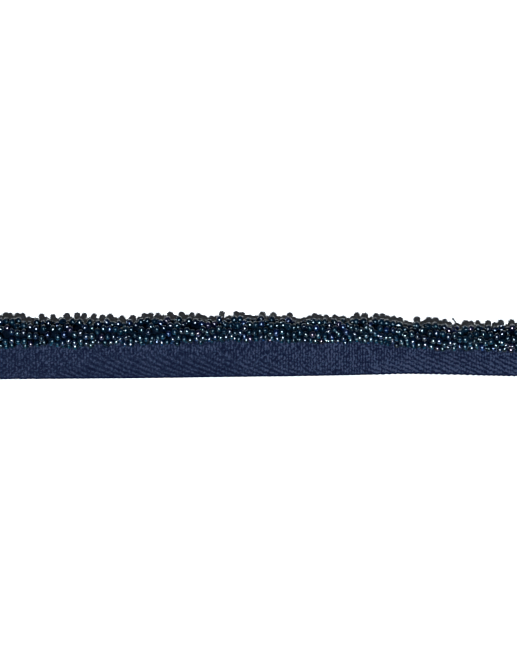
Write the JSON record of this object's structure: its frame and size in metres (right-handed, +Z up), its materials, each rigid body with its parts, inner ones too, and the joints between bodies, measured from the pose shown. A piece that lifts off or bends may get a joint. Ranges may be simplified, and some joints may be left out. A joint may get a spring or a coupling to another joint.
{
  "type": "beaded piping on twill tape",
  "caption": "Straight cut length of dark beaded piping: a round roll of small glass seed beads sewn along one edge of a flat navy twill tape, which is its sewing lip.",
  "frame": {"origin": "middle of the length and of the width, on the surface that the trim lies on", "axes": "+X along the trim, +Y from the tape's free edge towards the bead roll, +Z up from the surface"},
  "size_m": [0.18, 0.0199, 0.0091],
  "materials": {
    "seed_beads": "dark navy to teal glass, opaque and glossy, with a faint oil-like sheen",
    "navy_twill": "matt navy cotton in a fine slanting twill weave, with a woven edge"
  },
  "bodies": {
    "root": {"bead_roll": "seed_beads", "twill_tape": "navy_twill"}
  },
  "joints": []
}
